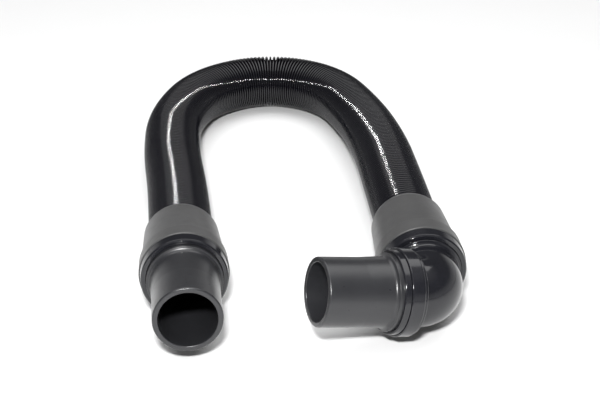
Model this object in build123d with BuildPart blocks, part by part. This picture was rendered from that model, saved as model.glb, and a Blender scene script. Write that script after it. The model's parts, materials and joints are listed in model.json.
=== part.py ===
from build123d import *
import math
import os

# A stretch vacuum hose lying in a U on the floor: a ribbed hose with a conical boot at each end.
# One boot holds a straight swivelling nozzle. The other holds a swivelling elbow, whose outlet
# holds a second swivelling nozzle. Millimetres, +Z up, the floor is Z = 0 and the open side of
# the U faces -Y.

# ---- driving dimensions -------------------------------------------------------------------
AIRWAY_R = 16.0               # clear radius of the air path through every piece
HOSE_R = 19.5                 # outside of the hose's ribs

NOZZLE_R = 19.05              # push-fit end: 38.1 mm, the 1 1/2 inch vacuum size
NOZZLE_ROOT_R = 19.65         # a nozzle's slight taper grows to this at its root
NOZZLE_GRIP = 24.0            # length of the parallel push-fit end
ROOT_ROUND = 2.2              # hollow round between its neck and its push-fit end
OUTER_LIP_ROUND = 1.0
INNER_LIP_ROUND = 0.6

BOOT_LENGTH = 51.0
BOOT_MOUTH_R = 21.0           # where the boot closes on the hose
BOOT_SHOULDER_R = 22.5        # start of the cone
BOOT_WAIST_R = 24.3           # end of the cone
BOOT_RIM_R = 25.8             # the band around the boot's wide end
BOOT_BAND_START = 40.0
BOOT_BORE_R = 19.75           # around the hose
BOOT_SLEEVE_R = 20.95         # around the adapter's sleeve
BOOT_CHEST_R = 22.3           # around the adapter's body
BOOT_CAVITY_R = 23.9          # around the swivel's flange

HOSE_SEAT = 21.0              # how far the hose reaches into a boot
GASKET = 1.0                  # flat gasket behind the hose's end
SLEEVE_BACK = 6.2             # the adapter: from its sleeve's back end
BODY_BACK = 24.3              # to where it widens
ADAPTER_FRONT = 40.5          # and its front
SOCKET_FLOOR = 28.0
SOCKET_R = 18.6               # socket that a swivelling spigot turns in
SPIGOT_R = 18.2
GROOVE_R = 17.0               # floor of the spigot's seal groove
GROOVE_AT = 33.0              # middle of the groove, from the boot's small end
GROOVE_WIDTH = 1.8
SEAL_SECTION_R = 0.75
FLANGE_R = 23.5
FLANGE_BACK = 41.0
FLANGE_FRONT = 44.0
NECK_R = 21.75                # swivelling neck inside a boot's lock ring
NECK_END = 60.6
RING_BACK = 45.6
RING_BORE_R = 22.05
BOOT_RING_R = 25.25
BOOT_RING_FRONT = 58.0        # how far a boot's lock ring stands from the boot's small end

STRAIGHT_MOUTH = 105.0        # straight boot's small end to its nozzle's mouth
ELBOW_CORNER = 78.5           # elbow boot's small end to the elbow's corner
ELBOW_R = 19.5
ELBOW_BEND_R = 12.0           # bend radius of its centre line
ELBOW_TURN = 77.0             # degrees between the boot's axis and the outlet's
ELBOW_LIFT = 11.4             # degrees that the outlet is turned up from level
ELBOW_BEND_REACH = ELBOW_BEND_R * math.tan(math.radians(ELBOW_TURN / 2))  # corner to bend's ends
OUTLET_MOUTH = 68.0           # elbow's corner to the outlet nozzle's mouth
COLLAR_R = 24.5               # the wide collar, measured from the corner along the outlet
COLLAR_STEP_R = 23.4          # a lower step behind it
COLLAR_STEP_START = 12.6
COLLAR_START = 14.6
COLLAR_END = 22.5
COLLAR_CAVITY_R = 22.9
COLLAR_FLOOR = 15.8
OUTLET_FACE = 16.4            # rear face of the outlet's nozzle
OUTLET_GROOVE_R = 18.0        # middle of the seal groove in that face
OUTLET_FLANGE_R = 22.5
OUTLET_FLANGE_FRONT = 18.8
OUTLET_NECK_R = 21.6
OUTLET_NECK_END = 28.4
OUTLET_RING_BACK = 20.1
OUTLET_RING_FRONT = 26.0
OUTLET_RING_BORE_R = 21.9

# ---- where the two fittings lie: the centre of each boot's small end, and where it points --
STRAIGHT_BOOT_AT = (-72.43, 48.55, 23.53)
STRAIGHT_HEADING = 173.26     # degrees clockwise from +Y, seen from above
STRAIGHT_RISE = 3.04          # degrees above level
ELBOW_BOOT_AT = (64.11, 57.70, 26.79)
ELBOW_HEADING = 174.91
ELBOW_RISE = -1.12

# The hose's route: the points where its straight runs meet. The first two lie on the axis of
# the straight boot and the last two on the axis of the elbow boot.
ROUTE = [
    (-69.97, 27.73, 24.64),
    (-75.48, 74.33, 22.15),
    (-81.53, 123.40, 19.60),
    (-89.83, 175.30, 19.50),
    (-93.53, 230.90, 19.50),
    (-76.23, 288.30, 19.50),
    (-27.33, 318.00, 19.50),
    (23.07, 294.60, 19.50),
    (45.37, 235.00, 19.50),
    (55.07, 172.70, 24.10),
    (58.67, 122.70, 26.50),
    (62.20, 79.11, 27.21),
    (65.97, 36.79, 26.38),
]


# ---- planes and helpers -------------------------------------------------------------------
def aimed(origin, heading, rise):
    """A plane whose Z looks along a heading and a rise, in degrees, with its Y upwards."""
    h = math.radians(heading)
    r = math.radians(rise)
    ahead = (math.sin(h) * math.cos(r), math.cos(h) * math.cos(r), math.sin(r))
    return Plane(origin=origin, x_dir=(-math.cos(h), math.sin(h), 0), z_dir=ahead)


def elbow_outlet(end):
    """The plane of the elbow's outlet: its origin is the corner and its Z runs out of it."""
    turn = math.radians(ELBOW_TURN)
    lift = math.radians(ELBOW_LIFT)
    sideways = end.x_dir * -math.cos(lift) + end.y_dir * math.sin(lift)
    out = end.z_dir * math.cos(turn) + sideways * math.sin(turn)
    return Plane(
        origin=end.origin + end.z_dir * ELBOW_CORNER,
        x_dir=end.z_dir * -math.sin(turn) + sideways * math.cos(turn),
        z_dir=out,
    )


def half_section(end):
    """The plane through an end's axis: X is the radius and Y runs along the axis."""
    return Plane(origin=end.origin, x_dir=end.x_dir, z_dir=-end.y_dir)


def turned(end, outline, rounds=None):
    """A solid of revolution about an end's axis.

    outline lists (radius, distance) corners. rounds gives a corner's number its fillet."""
    with BuildPart() as body:
        with BuildSketch(half_section(end)) as section:
            with BuildLine():
                Polyline(*outline, close=True)
            make_face()
            for number, radius in (rounds or {}).items():
                corner = section.vertices().sort_by_distance(outline[number])[0]
                fillet(corner, radius)
        revolve(axis=Axis(end.origin, end.z_dir))
    return body.part


def save(part, name):
    part.label = name
    export_step(part, f"parts/{name}.step")


# ---- pieces inside and around each boot ---------------------------------------------------
def boot(end):
    """The soft conical cuff: grips the hose, and swells to a band around its wide end."""
    outline = [
        (BOOT_BORE_R, 0),
        (BOOT_MOUTH_R, 0),
        (BOOT_SHOULDER_R, 4.0),
        (BOOT_WAIST_R, BOOT_BAND_START - 1.6),
        (BOOT_RIM_R - 0.2, BOOT_BAND_START),
        (BOOT_RIM_R, BOOT_LENGTH),
        (BOOT_CAVITY_R, BOOT_LENGTH),
        (BOOT_CAVITY_R, ADAPTER_FRONT + 0.3),
        (BOOT_CHEST_R, ADAPTER_FRONT + 0.3),
        (BOOT_CHEST_R, BODY_BACK - 0.2),
        (BOOT_SLEEVE_R, BODY_BACK - 0.2),
        (BOOT_SLEEVE_R, SLEEVE_BACK - 0.2),
        (BOOT_BORE_R, SLEEVE_BACK - 0.2),
    ]
    return turned(end, outline, {1: 0.7, 2: 3.0, 3: 0.3, 4: 0.7, 5: 0.5})


def adapter(end):
    """The rigid sleeve screwed onto the hose's end, with the swivel's socket at its front."""
    seat = HOSE_SEAT + GASKET
    outline = [
        (HOSE_R + 0.1, SLEEVE_BACK),
        (BOOT_SLEEVE_R - 0.1, SLEEVE_BACK),
        (BOOT_SLEEVE_R - 0.1, BODY_BACK),
        (BOOT_CHEST_R - 0.1, BODY_BACK),
        (BOOT_CHEST_R - 0.1, ADAPTER_FRONT),
        (SOCKET_R, ADAPTER_FRONT),
        (SOCKET_R, SOCKET_FLOOR),
        (AIRWAY_R, SOCKET_FLOOR),
        (AIRWAY_R, seat),
        (HOSE_R + 0.1, seat),
    ]
    return turned(end, outline)


def gasket(end):
    """The flat ring that seals the hose's end face against the adapter."""
    return turned(end, [
        (AIRWAY_R + 0.2, HOSE_SEAT),
        (HOSE_R - 0.1, HOSE_SEAT),
        (HOSE_R - 0.1, HOSE_SEAT + GASKET),
        (AIRWAY_R + 0.2, HOSE_SEAT + GASKET),
    ])


def seal(end, radius, at):
    """A rubber O-ring, given the radius of its centre line."""
    with BuildPart() as ring:
        with BuildSketch(half_section(end)):
            with Locations((radius, at)):
                Circle(SEAL_SECTION_R)
        revolve(axis=Axis(end.origin, end.z_dir))
    return ring.part


def bearing_washer(end, inside, outside, back, front):
    """The slippery ring between a swivel's flange and its lock ring."""
    return turned(end, [(inside, back), (outside, back), (outside, front), (inside, front)])


def boot_lock_ring(end):
    """The stepped glossy ring snapped into a boot's mouth, which keeps the swivel in."""
    outline = [
        (RING_BORE_R, RING_BACK),
        (BOOT_CAVITY_R - 0.1, RING_BACK),
        (BOOT_CAVITY_R - 0.1, BOOT_LENGTH + 0.1),
        (BOOT_RING_R, BOOT_LENGTH + 0.1),
        (BOOT_RING_R - 0.5, BOOT_RING_FRONT - 0.8),
        (BOOT_RING_R - 1.2, BOOT_RING_FRONT),
        (RING_BORE_R, BOOT_RING_FRONT),
    ]
    return turned(end, outline, {3: 0.35, 4: 0.4, 5: 0.3})


def outlet_lock_ring(end):
    """The smaller stepped ring snapped into the mouth of the elbow's collar."""
    outline = [
        (OUTLET_RING_BORE_R, OUTLET_RING_BACK),
        (COLLAR_CAVITY_R - 0.05, OUTLET_RING_BACK),
        (COLLAR_CAVITY_R - 0.05, COLLAR_END + 0.1),
        (COLLAR_R - 1.0, COLLAR_END + 0.1),
        (COLLAR_R - 1.3, OUTLET_RING_FRONT),
        (OUTLET_RING_BORE_R, OUTLET_RING_FRONT),
    ]
    return turned(end, outline, {3: 0.2, 4: 0.5})


# ---- the swivelling pieces ----------------------------------------------------------------
def spigot_outline():
    """The outside of a boot's swivel up to its neck: tail, seal groove, flange and neck."""
    return [
        (AIRWAY_R, SOCKET_FLOOR + 0.5),
        (SPIGOT_R, SOCKET_FLOOR + 0.5),
        (SPIGOT_R, GROOVE_AT - GROOVE_WIDTH / 2),
        (GROOVE_R, GROOVE_AT - GROOVE_WIDTH / 2),
        (GROOVE_R, GROOVE_AT + GROOVE_WIDTH / 2),
        (SPIGOT_R, GROOVE_AT + GROOVE_WIDTH / 2),
        (SPIGOT_R, FLANGE_BACK),
        (FLANGE_R, FLANGE_BACK),
        (FLANGE_R, FLANGE_FRONT),
        (NECK_R, FLANGE_FRONT),
    ]


def push_fit_outline(neck_r, neck_end, mouth):
    """The outside and lip of a nozzle from the end of its neck to its mouth."""
    return [
        (neck_r, neck_end),
        (NOZZLE_ROOT_R, neck_end + 0.8),
        (NOZZLE_R, mouth - NOZZLE_GRIP),
        (NOZZLE_R, mouth),
        (AIRWAY_R, mouth),
    ]


def lip_rounds(count):
    """The fillets of a nozzle whose outline has this many corners: neck, root and lip."""
    return {count - 5: 0.4, count - 4: ROOT_ROUND, count - 2: OUTER_LIP_ROUND, count - 1: INNER_LIP_ROUND}


def straight_nozzle(end):
    """The swivelling nozzle in the straight boot."""
    outline = spigot_outline() + push_fit_outline(NECK_R, NECK_END, STRAIGHT_MOUTH)
    return turned(end, outline, lip_rounds(len(outline)))


def elbow_nozzle(end):
    """The swivelling nozzle in the elbow's collar, with its seal groove in its rear face."""
    outline = [
        (AIRWAY_R, OUTLET_FACE),
        (OUTLET_GROOVE_R - GROOVE_WIDTH / 2, OUTLET_FACE),
        (OUTLET_GROOVE_R - GROOVE_WIDTH / 2, OUTLET_FACE + 1.0),
        (OUTLET_GROOVE_R + GROOVE_WIDTH / 2, OUTLET_FACE + 1.0),
        (OUTLET_GROOVE_R + GROOVE_WIDTH / 2, OUTLET_FACE),
        (OUTLET_FLANGE_R, OUTLET_FACE),
        (OUTLET_FLANGE_R, OUTLET_FLANGE_FRONT),
        (OUTLET_NECK_R, OUTLET_FLANGE_FRONT),
    ] + push_fit_outline(OUTLET_NECK_R, OUTLET_NECK_END, OUTLET_MOUTH)
    return turned(end, outline, lip_rounds(len(outline)))


def bend_start(end):
    """The plane where the elbow's bend begins, its first direction towards the inside of the bend."""
    lift = math.radians(ELBOW_LIFT)
    return Plane(
        origin=end.origin + end.z_dir * (ELBOW_CORNER - ELBOW_BEND_REACH),
        x_dir=end.x_dir * -math.cos(lift) + end.y_dir * math.sin(lift),
        z_dir=end.z_dir,
    )


def bend_section(start, radius):
    """A disc in the bend's first plane, cut off at the axis the bend turns about."""
    with BuildSketch(start) as section:
        Circle(radius)
        with Locations((ELBOW_BEND_R + radius, 0)):
            Rectangle(2 * radius, 2 * radius, mode=Mode.SUBTRACT)
    return section.sketch


def elbow_body(end, out):
    """The rigid elbow, one moulding: a swivel spigot at its inlet and a collar at its outlet."""
    start = bend_start(end)
    pivot = Axis(start.origin + start.x_dir * ELBOW_BEND_R, end.z_dir.cross(out.z_dir))
    inlet = spigot_outline() + [
        (NECK_R, NECK_END - 2.0),
        (ELBOW_R, NECK_END - 0.9),
        (ELBOW_R, ELBOW_CORNER - ELBOW_BEND_REACH),
        (AIRWAY_R, ELBOW_CORNER - ELBOW_BEND_REACH),
    ]
    outside = [
        (0, ELBOW_BEND_REACH),
        (ELBOW_R, ELBOW_BEND_REACH),
        (ELBOW_R, COLLAR_STEP_START),
        (COLLAR_STEP_R, COLLAR_STEP_START),
        (COLLAR_STEP_R, COLLAR_START),
        (COLLAR_R, COLLAR_START),
        (COLLAR_R, COLLAR_END),
        (0, COLLAR_END),
    ]
    neck_rounds = {10: 0.6, 11: ROOT_ROUND}
    collar_rounds = {3: 0.8, 5: 0.8, 6: 0.6}
    with BuildPart() as body:
        with BuildSketch(half_section(end)) as spigot:
            with BuildLine():
                Polyline(*inlet, close=True)
            make_face()
            for number, radius in neck_rounds.items():
                fillet(spigot.vertices().sort_by_distance(inlet[number])[0], radius)
        revolve(axis=Axis(end.origin, end.z_dir))
        revolve(bend_section(start, ELBOW_R), axis=pivot, revolution_arc=ELBOW_TURN)
        with BuildSketch(half_section(out)) as wall:
            with BuildLine():
                Polyline(*outside, close=True)
            make_face()
            for number, radius in collar_rounds.items():
                fillet(wall.vertices().sort_by_distance(outside[number])[0], radius)
        revolve(axis=Axis(out.origin, out.z_dir))
        with BuildSketch(out.offset(COLLAR_FLOOR)):
            Circle(COLLAR_CAVITY_R)
        extrude(amount=COLLAR_END, mode=Mode.SUBTRACT)
        airway = bend_section(start, AIRWAY_R)
        revolve(airway, axis=pivot, revolution_arc=ELBOW_TURN, mode=Mode.SUBTRACT)
        with BuildSketch(out.offset(ELBOW_BEND_REACH)):
            Circle(AIRWAY_R)
        extrude(amount=COLLAR_END, mode=Mode.SUBTRACT)
    return body.part


def hose():
    """The hose as a plain tube along its route, each corner as round as its runs allow."""
    points = [Vector(*p) for p in ROUTE]
    runs = [b - a for a, b in zip(points, points[1:])]
    radii = []
    for before, after in zip(runs, runs[1:]):
        half_turn = math.radians(before.get_angle(after)) / 2
        radii.append(0.45 * min(before.length, after.length) / math.tan(half_turn))
    print("hose corner radii:", [round(r) for r in radii])
    with BuildPart() as tube:
        with BuildLine() as line:
            FilletPolyline(*points, radius=radii)
        with BuildSketch(Plane(origin=points[0], z_dir=runs[0])):
            Circle(HOSE_R)
            Circle(AIRWAY_R, mode=Mode.SUBTRACT)
        sweep(path=line.wires()[0])
    length = line.wires()[0].length
    expected = math.pi * (HOSE_R ** 2 - AIRWAY_R ** 2) * length
    print(f"hose length {length:.1f}, volume {tube.part.volume:.0f}, section x length {expected:.0f}")
    return tube.part


# ---- build --------------------------------------------------------------------------------
os.makedirs("parts", exist_ok=True)
straight_end = aimed(STRAIGHT_BOOT_AT, STRAIGHT_HEADING, STRAIGHT_RISE)
elbow_end = aimed(ELBOW_BOOT_AT, ELBOW_HEADING, ELBOW_RISE)
outlet = elbow_outlet(elbow_end)

save(hose(), "corrugated_hose")

for name, end in (("straight_end", straight_end), ("elbow_end", elbow_end)):
    save(boot(end), f"{name}_boot")
    save(adapter(end), f"{name}_adapter")
    save(gasket(end), f"{name}_gasket")
    save(boot_lock_ring(end), f"{name}_lock_ring")
    save(bearing_washer(end, 22.0, 23.6, FLANGE_FRONT + 0.25, RING_BACK - 0.25), f"{name}_washer")
    save(seal(end, 17.8, GROOVE_AT), f"{name}_seal")

save(straight_nozzle(straight_end), "straight_nozzle")
save(elbow_body(elbow_end, outlet), "elbow_body")
save(outlet_lock_ring(outlet), "outlet_lock_ring")
save(bearing_washer(outlet, 21.8, 22.7, OUTLET_FLANGE_FRONT + 0.2, OUTLET_RING_BACK - 0.2), "outlet_washer")
save(seal(outlet, OUTLET_GROOVE_R, COLLAR_FLOOR + SEAL_SECTION_R + 0.05), "outlet_seal")
save(elbow_nozzle(outlet), "elbow_nozzle")
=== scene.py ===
import json
import math

import bpy
import numpy as np
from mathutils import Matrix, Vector


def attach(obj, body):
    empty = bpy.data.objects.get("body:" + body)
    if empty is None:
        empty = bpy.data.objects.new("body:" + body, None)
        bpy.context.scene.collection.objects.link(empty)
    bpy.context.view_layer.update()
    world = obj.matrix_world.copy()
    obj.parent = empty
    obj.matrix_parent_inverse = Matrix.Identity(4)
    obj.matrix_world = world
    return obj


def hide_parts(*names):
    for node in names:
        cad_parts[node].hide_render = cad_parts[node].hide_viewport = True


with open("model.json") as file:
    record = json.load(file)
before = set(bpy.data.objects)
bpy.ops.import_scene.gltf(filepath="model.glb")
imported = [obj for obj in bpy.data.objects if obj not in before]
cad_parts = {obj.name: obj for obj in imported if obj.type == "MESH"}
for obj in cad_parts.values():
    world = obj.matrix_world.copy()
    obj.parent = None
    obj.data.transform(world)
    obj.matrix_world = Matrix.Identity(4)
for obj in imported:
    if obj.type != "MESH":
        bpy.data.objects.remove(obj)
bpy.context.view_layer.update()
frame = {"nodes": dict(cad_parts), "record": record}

# A stretch vacuum hose on a pale floor: the ribbed hose is modelled here along its route, and
# the boots, rings, elbow and nozzles are the CAD's own pieces with finished materials. Metres.

MM = 0.001
NODES = frame["nodes"]

# ---- camera -------------------------------------------------------------------------------
CAMERA_AT = (-0.001, -0.6255, 0.3884)
CAMERA_DOWN = 26.83           # degrees below level, looking along +Y
SENSOR_WIDTH = 36.0
LENS = 76.3
CLIP_NEAR = 0.01
CLIP_FAR = 100.0

# ---- light --------------------------------------------------------------------------------
# A compact bright lamp just above the camera, for the glints.
KEY_AT = (-0.045, -0.600, 0.560)
KEY_TARGET = (0.0, 0.10, 0.03)
KEY_WIDTH = 0.10
KEY_HEIGHT = 0.06
KEY_POWER = 9.5
# A wide soft panel above and behind the hose.
OVERHEAD_AT = (0.0, 0.60, 1.9)
OVERHEAD_TARGET = (0.0, 0.13, 0.0)
OVERHEAD_WIDTH = 2.6
OVERHEAD_DEPTH = 2.0
OVERHEAD_POWER = 34.0
# The surroundings' brightness by the sine of the height above the horizon.
SKY_LEVEL = (0.0, 0.80)
SKY_TOP = (1.0, 0.60)
SKY_BETWEEN = [(0.18, 0.50), (0.32, 0.07), (0.60, 0.08), (0.78, 0.40)]

# ---- floor --------------------------------------------------------------------------------
FLOOR_HALF = 6.0
FLOOR_GREY = 0.86
FLOOR_MOTTLE = 0.01           # lighter and darker than that by this much
FLOOR_LUMPS = 3.0             # lumps of mottle per metre
FLOOR_ROUGHNESS = 0.6

# ---- the hose -----------------------------------------------------------------------------
# The route's points, the same as the CAD tube's: the spline's control points.
ROUTE = [
    (-0.06997, 0.02773, 0.02464),
    (-0.07548, 0.07433, 0.02215),
    (-0.08153, 0.12340, 0.01960),
    (-0.08983, 0.17530, 0.01950),
    (-0.09353, 0.23090, 0.01950),
    (-0.07623, 0.28830, 0.01950),
    (-0.02733, 0.31800, 0.01950),
    (0.02307, 0.29460, 0.01950),
    (0.04537, 0.23500, 0.01950),
    (0.05507, 0.17270, 0.02410),
    (0.05867, 0.12270, 0.02650),
    (0.06220, 0.07911, 0.02721),
    (0.06597, 0.03679, 0.02638),
]
SPLINE_ORDER = 3
SPLINE_STEPS = 60             # points between two control points
HOSE_R = 19.5 * MM            # over the ribs
VALLEY_R = 16.75 * MM         # floor of the grooves between the ribs
INSIDE_R = 16.05 * MM
RIB_PITCH = 2.65 * MM
RIB_REACH = 0.47 * RIB_PITCH  # how far a rib may lean from its middle where the hose bends
SIDES = 60                    # faces around the hose
SAME_POINT = 1e-7             # points closer than this are one point
BEND_WINDOW = 0.012           # the bend is averaged over this much of the line
BEND_POINTS = 3               # or over this many points, if they are more

# One rib's outline: distance along the hose from the rib's middle, and radius.
RIB = [
    (-0.78, 16.9),
    (-0.76, 18.72),
    (-0.66, 19.10),
    (-0.38, 19.38),
    (0.0, 19.48),
    (0.38, 19.38),
    (0.66, 19.10),
    (0.76, 18.72),
    (0.78, 16.9),
]
# The same rib seen from inside the hose, where it is a shallow groove.
RIB_INSIDE = [(-0.45, 18.1), (0.45, 18.1)]


def route_spline():
    """The hose's route as a NURBS spline whose control points are the route's points."""
    curve = bpy.data.curves.new("hose_route", "CURVE")
    curve.dimensions = "3D"
    curve.resolution_u = SPLINE_STEPS
    spline = curve.splines.new("NURBS")
    spline.points.add(len(ROUTE) - 1)
    for point, place in zip(spline.points, ROUTE):
        point.co = (*place, 1.0)
    spline.order_u = SPLINE_ORDER
    spline.use_endpoint_u = True
    return curve


def points_along(curve):
    """The points that Blender gives for the spline, as an array."""
    carrier = bpy.data.objects.new("hose_route", curve)
    line = bpy.data.meshes.new_from_object(carrier)
    points = np.array([v.co[:] for v in line.vertices])
    bpy.data.objects.remove(carrier)
    bpy.data.meshes.remove(line)
    return points


class CentreLine:
    """The hose's centre line by distance, with a frame that doesn't twist along it."""

    def __init__(self, points):
        steps = np.linalg.norm(np.diff(points, axis=0), axis=1)
        points = points[np.concatenate([[True], steps > SAME_POINT])]
        steps = np.linalg.norm(np.diff(points, axis=0), axis=1)
        self.points = points
        self.at = np.concatenate([[0.0], np.cumsum(steps)])
        self.length = float(self.at[-1])
        ahead = np.gradient(points, self.at, axis=0)
        self.ahead = ahead / np.linalg.norm(ahead, axis=1)[:, None]
        self.bend = self.smooth_bend()
        self.up = self.untwisted()
        self.side = np.cross(self.ahead, self.up)

    def smooth_bend(self):
        """The line's curvature as a vector, averaged over a short way along it."""
        width = max(BEND_POINTS, int(BEND_WINDOW / self.length * len(self.points)))
        box = np.ones(width) / width
        bend = np.gradient(self.ahead, self.at, axis=0)
        columns = [np.convolve(bend[:, i], box, "same") for i in range(3)]
        return np.stack(columns, axis=1)

    def untwisted(self):
        """A direction square to the line, carried along it without turning about it."""
        up = np.array([0.0, 0.0, 1.0])
        carried = []
        for ahead in self.ahead:
            up = up - ahead * np.dot(up, ahead)
            up = up / np.linalg.norm(up)
            carried.append(up)
        return np.array(carried)

    def sample(self, values, distance):
        """One of the line's vectors at distances along it."""
        columns = [np.interp(distance, self.at, values[:, i]) for i in range(3)]
        return np.stack(columns, axis=-1)

    def outward(self, distance, cos, sin):
        """The direction out of the hose at a turn about it, given as its cosine and sine."""
        return cos * self.sample(self.up, distance) + sin * self.sample(self.side, distance)

    def surface(self, middle, offset, radius, turn):
        """Points at an offset along the hose's surface from the middle of a rib, at an angle."""
        cos, sin = np.cos(turn)[..., None], np.sin(turn)[..., None]
        out = self.outward(middle, cos, sin)
        bend = self.sample(self.bend, middle)
        spread = 1.0 - radius * np.sum(bend * out, axis=-1)
        reach = np.clip(offset / spread, -RIB_REACH, RIB_REACH)
        place = np.clip(middle + reach, 0.0, self.length)
        return self.sample(self.points, place) + radius * self.outward(place, cos, sin)


def helix_wall(line, rib, groove_r, turns):
    """A wall whose ribs wind round it: rows of points, rows to a turn, and rows to face.

    The rows past those to face hold the last turn's ends: a row's last column joins the
    first column of the row one turn further on."""
    outline = [(-0.5 * RIB_PITCH / MM, groove_r / MM)] + rib
    per_turn = len(outline)
    count = turns * per_turn + 1
    grid = np.zeros((count + per_turn, SIDES, 3))
    column = np.arange(SIDES)
    angle = column * 2 * math.pi / SIDES
    for row in range(count + per_turn):
        turn, number = divmod(row, per_turn)
        offset, radius = outline[number]
        middle = (turn + 0.5 + column / SIDES) * RIB_PITCH
        if number == 0:
            middle = middle - 0.5 * RIB_PITCH
            offset = 0.0
        grid[row] = line.surface(middle, offset * MM, radius * MM, angle)
    return grid, per_turn, count


def hose_mesh(line):
    """The ribbed hose as one closed wall: outside, inside, and the two ends of the helix."""
    turns = int(line.length / RIB_PITCH) - 1
    verts = []
    faces = []
    crest = []

    def add_wall(rib, groove_r, outward):
        grid, per_turn, count = helix_wall(line, rib, groove_r, turns)
        base = len(verts)
        verts.extend(map(tuple, grid[:count].reshape(-1, 3)))
        verts.extend(map(tuple, grid[count:, 0]))
        radii = [groove_r] + [r * MM for _, r in rib]
        for row in range(count):
            crest.extend([radii[row % per_turn] / HOSE_R] * SIDES)
        crest.extend(radii[(count + k) % per_turn] / HOSE_R for k in range(per_turn))

        def index(row, column):
            if column == SIDES:
                row, column = row + per_turn, 0
            if row < count:
                return base + row * SIDES + column
            return base + count * SIDES + row - count

        for row in range(count - 1):
            for column in range(SIDES):
                face = (
                    index(row, column),
                    index(row, column + 1),
                    index(row + 1, column + 1),
                    index(row + 1, column),
                )
                faces.append(face if outward else face[::-1])
        return index, per_turn, count

    outside, outer_turn, outer_rows = add_wall(RIB, VALLEY_R, True)
    inside, inner_turn, inner_rows = add_wall(RIB_INSIDE, INSIDE_R, False)
    outer_end = outer_rows - 1
    inner_end = inner_rows - 1
    for column in range(SIDES):
        faces.append((
            outside(0, column),
            inside(0, column),
            inside(0, column + 1),
            outside(0, column + 1),
        ))
        faces.append((
            outside(outer_end, column),
            outside(outer_end, column + 1),
            inside(inner_end, column + 1),
            inside(inner_end, column),
        ))
    # The helix ends in a step of one pitch, which one face closes at each end.
    near_step = [outside(k, 0) for k in range(outer_turn + 1)]
    near_step += [inside(k, 0) for k in range(inner_turn, -1, -1)]
    faces.append(tuple(near_step))
    far_step = [outside(outer_end + k, 0) for k in range(outer_turn, -1, -1)]
    far_step += [inside(inner_end + k, 0) for k in range(inner_turn + 1)]
    faces.append(tuple(far_step))

    mesh = bpy.data.meshes.new("hose")
    mesh.from_pydata(verts, [], faces)
    height = mesh.attributes.new("rib_height", "FLOAT", "POINT")
    height.data.foreach_set("value", crest)
    mesh.polygons.foreach_set("use_smooth", [True] * len(mesh.polygons))
    mesh.update()
    return mesh


# ---- materials ----------------------------------------------------------------------------
def grey(value):
    return (value, value, value)


def principled(name, colour, roughness):
    """A new material with a Principled shader, its nodes and its links."""
    material = bpy.data.materials.new(name)
    material.use_nodes = True
    nodes = material.node_tree.nodes
    links = material.node_tree.links
    shader = nodes["Principled BSDF"]
    shader.inputs["Base Color"].default_value = (*colour, 1.0)
    shader.inputs["Roughness"].default_value = roughness
    return material, nodes, links, shader


def noise(nodes, links, scale, detail=4.0, roughness=0.55):
    """Noise in the object's own coordinates, scale in lumps per metre."""
    place = nodes.new("ShaderNodeTexCoord")
    texture = nodes.new("ShaderNodeTexNoise")
    texture.inputs["Scale"].default_value = scale
    texture.inputs["Detail"].default_value = detail
    texture.inputs["Roughness"].default_value = roughness
    links.new(place.outputs["Object"], texture.inputs["Vector"])
    return texture.outputs["Fac"]


def ramp(nodes, links, source, low, high, start=0.3, end=0.7):
    """Two colours or greys mixed by a value between start and end."""
    node = nodes.new("ShaderNodeValToRGB")
    node.color_ramp.elements[0].position = start
    node.color_ramp.elements[0].color = (*low, 1.0)
    node.color_ramp.elements[1].position = end
    node.color_ramp.elements[1].color = (*high, 1.0)
    links.new(source, node.inputs["Fac"])
    return node.outputs["Color"]


def bump(nodes, links, shader, source, distance):
    """Lift the surface by a value, as far as the distance."""
    node = nodes.new("ShaderNodeBump")
    node.inputs["Distance"].default_value = distance
    node.inputs["Strength"].default_value = 1.0
    links.new(source, node.inputs["Height"])
    links.new(node.outputs["Normal"], shader.inputs["Normal"])


MOTTLE_LUMPS = 60.0           # lumps of mottled colour per metre
GLOSS_LUMPS = 220.0           # lumps of uneven gloss per metre
GLOSS_DETAIL = 6.0
GLOSS_BREAKUP = 0.65
GRAIN_DETAIL = 3.0


def moulded(name, colours, roughness, grain, grain_depth):
    """Moulded plastic or rubber: mottled colour, uneven gloss and a fine grain."""
    dark, light = colours
    smooth, rough = roughness
    material, nodes, links, shader = principled(name, dark, smooth)
    mottle = noise(nodes, links, MOTTLE_LUMPS)
    colour = ramp(nodes, links, mottle, dark, light)
    links.new(colour, shader.inputs["Base Color"])
    wear = noise(nodes, links, GLOSS_LUMPS, GLOSS_DETAIL, GLOSS_BREAKUP)
    gloss = ramp(nodes, links, wear, grey(smooth), grey(rough))
    links.new(gloss, shader.inputs["Roughness"])
    bump(nodes, links, shader, noise(nodes, links, grain, GRAIN_DETAIL), grain_depth)
    return material


# The hose wall's looks change with the rib height, which is the radius over the hose's own.
# The groove colour next is painted shade for the ribs shading each other; the colour span after
# the crest sets the rib heights where that painted shade fades out.
HOSE_GROOVE_PAINTED_SHADE = (0.002, 0.002, 0.0025)
HOSE_CREST = (0.0045, 0.0045, 0.0065)
HOSE_PAINTED_SHADE_FROM = (0.93, 0.98)
HOSE_DULL = 0.60
HOSE_GLOSSY = 0.09
HOSE_GLOSS_FROM = (0.960, 0.972)
HOSE_SHINE = 0.50
HOSE_SHINE_FROM = (0.962, 0.976)
HOSE_GRAIN = 900.0
HOSE_GRAIN_DETAIL = 2.0
HOSE_GRAIN_DEPTH = 0.003 * MM


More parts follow.
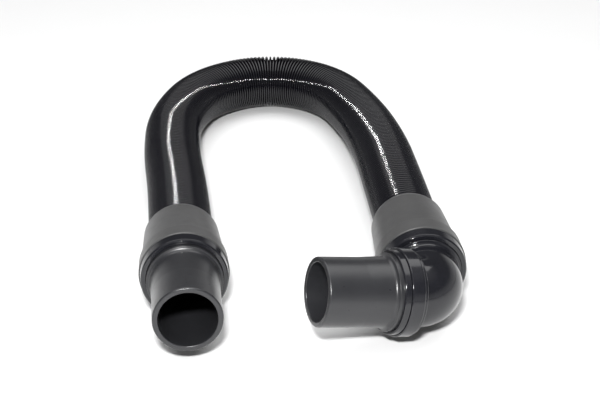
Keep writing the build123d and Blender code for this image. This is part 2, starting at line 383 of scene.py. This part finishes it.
def hose_material():
    """Glossy black ribs, dull down in the grooves, with painted shade darkening their colour
    there.
    """
    material, nodes, links, shader = principled("hose_wall", HOSE_CREST, HOSE_GLOSSY)
    attribute = nodes.new("ShaderNodeAttribute")
    attribute.attribute_name = "rib_height"
    height = attribute.outputs["Fac"]
    # Painted shade: the colour goes darker from the crest down into the grooves.
    colour = ramp(nodes, links, height, HOSE_GROOVE_PAINTED_SHADE, HOSE_CREST, *HOSE_PAINTED_SHADE_FROM)
    links.new(colour, shader.inputs["Base Color"])
    gloss = ramp(nodes, links, height, grey(HOSE_DULL), grey(HOSE_GLOSSY), *HOSE_GLOSS_FROM)
    links.new(gloss, shader.inputs["Roughness"])
    shine = ramp(nodes, links, height, grey(0.0), grey(HOSE_SHINE), *HOSE_SHINE_FROM)
    links.new(shine, shader.inputs["Specular IOR Level"])
    grain = noise(nodes, links, HOSE_GRAIN, HOSE_GRAIN_DETAIL)
    bump(nodes, links, shader, grain, HOSE_GRAIN_DEPTH)
    return material


# Each moulded material's dark and light colour.
BOOT = (0.045, 0.045, 0.0455), (0.054, 0.054, 0.0545)
NOZZLE = (0.0160, 0.0163, 0.0182), (0.0200, 0.0203, 0.0225)
BLACK = (0.0080, 0.0082, 0.0105), (0.0110, 0.0112, 0.0140)
SOCKET = grey(0.025), grey(0.035)
SEAL = grey(0.010), grey(0.015)
BEARING = (0.66, 0.65, 0.61), (0.72, 0.71, 0.67)

# Name, colours, roughness from and to, lumps of grain per metre, and depth of the grain.
MOULDED = [
    ("boot_rubber", BOOT, (0.34, 0.42), 2600.0, 0.00003),
    ("nozzle_plastic", NOZZLE, (0.27, 0.34), 1800.0, 0.00001),
    ("glossy_black", BLACK, (0.08, 0.13), 500.0, 0.000005),
    ("socket_plastic", SOCKET, (0.40, 0.50), 1500.0, 0.00001),
    ("seal_rubber", SEAL, (0.25, 0.35), 900.0, 0.00001),
    ("bearing_plastic", BEARING, (0.32, 0.40), 900.0, 0.00001),
]


def make_materials():
    """Every material by its name, which is its slot's name in the CAD's record."""
    materials = {"hose_wall": hose_material()}
    for row in MOULDED:
        materials[row[0]] = moulded(*row)
    return materials


# ---- stage --------------------------------------------------------------------------------
def make_camera():
    data = bpy.data.cameras.new("camera")
    data.sensor_width = SENSOR_WIDTH
    data.lens = LENS
    data.clip_start = CLIP_NEAR
    data.clip_end = CLIP_FAR
    camera = bpy.data.objects.new("camera", data)
    camera.location = CAMERA_AT
    camera.rotation_euler = (math.radians(90.0 - CAMERA_DOWN), 0.0, 0.0)
    bpy.context.scene.collection.objects.link(camera)
    bpy.context.scene.camera = camera


def area_light(name, place, target, width, height, power):
    """A rectangular lamp at a place, turned to a target, that the camera doesn't see."""
    data = bpy.data.lights.new(name, "AREA")
    data.shape = "RECTANGLE"
    data.size = width
    data.size_y = height
    data.energy = power
    light = bpy.data.objects.new(name, data)
    light.location = place
    direction = Vector(target) - Vector(place)
    light.rotation_euler = direction.to_track_quat("-Z", "Y").to_euler()
    light.visible_camera = False
    bpy.context.scene.collection.objects.link(light)


def make_floor():
    """A plain pale floor at Z = 0, a little mottled."""
    half = FLOOR_HALF
    corners = [(-half, -half, 0), (half, -half, 0), (half, half, 0), (-half, half, 0)]
    mesh = bpy.data.meshes.new("floor")
    mesh.from_pydata(corners, [], [(0, 1, 2, 3)])
    floor = bpy.data.objects.new("floor", mesh)
    bpy.context.scene.collection.objects.link(floor)
    material, nodes, links, shader = principled("floor", grey(FLOOR_GREY), FLOOR_ROUGHNESS)
    dark = grey(FLOOR_GREY - FLOOR_MOTTLE)
    light = grey(FLOOR_GREY + FLOOR_MOTTLE)
    colour = ramp(nodes, links, noise(nodes, links, FLOOR_LUMPS), dark, light)
    links.new(colour, shader.inputs["Base Color"])
    mesh.materials.append(material)


def make_world():
    """A studio seen in reflections: pale walls low down, a dark band above, a pale ceiling."""
    world = bpy.data.worlds.new("studio")
    world.use_nodes = True
    nodes = world.node_tree.nodes
    links = world.node_tree.links
    place = nodes.new("ShaderNodeTexCoord")
    split = nodes.new("ShaderNodeSeparateXYZ")
    links.new(place.outputs["Generated"], split.inputs["Vector"])
    sky = nodes.new("ShaderNodeValToRGB")
    stops = sky.color_ramp.elements
    for stop, (height, light) in zip([stops[0], stops[1]], [SKY_LEVEL, SKY_TOP]):
        stop.position = height
        stop.color = (*grey(light), 1.0)
    for height, light in SKY_BETWEEN:
        stop = stops.new(height)
        stop.color = (*grey(light), 1.0)
    links.new(split.outputs["Z"], sky.inputs["Fac"])
    background = nodes["Background"]
    links.new(sky.outputs["Color"], background.inputs["Color"])
    background.inputs["Strength"].default_value = 1.0
    bpy.context.scene.world = world


def light_scene():
    make_world()
    area_light(
        "overhead", OVERHEAD_AT, OVERHEAD_TARGET, OVERHEAD_WIDTH, OVERHEAD_DEPTH, OVERHEAD_POWER
    )
    area_light("key", KEY_AT, KEY_TARGET, KEY_WIDTH, KEY_HEIGHT, KEY_POWER)
    bpy.context.scene.view_settings.view_transform = "Standard"


# ---- build --------------------------------------------------------------------------------
make_camera()
materials = make_materials()

line = CentreLine(points_along(route_spline()))
hose = bpy.data.objects.new("ribbed_hose", hose_mesh(line))
hose.data.materials.append(materials["hose_wall"])
bpy.context.scene.collection.objects.link(hose)
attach(hose, "hose")
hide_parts("corrugated_hose")

for part in frame["record"]["subparts"]:
    if part["node"] == "corrugated_hose":
        continue
    node = NODES[part["node"]]
    node.data.materials.clear()
    node.data.materials.append(materials[part["material_slot"]])

make_floor()
light_scene()
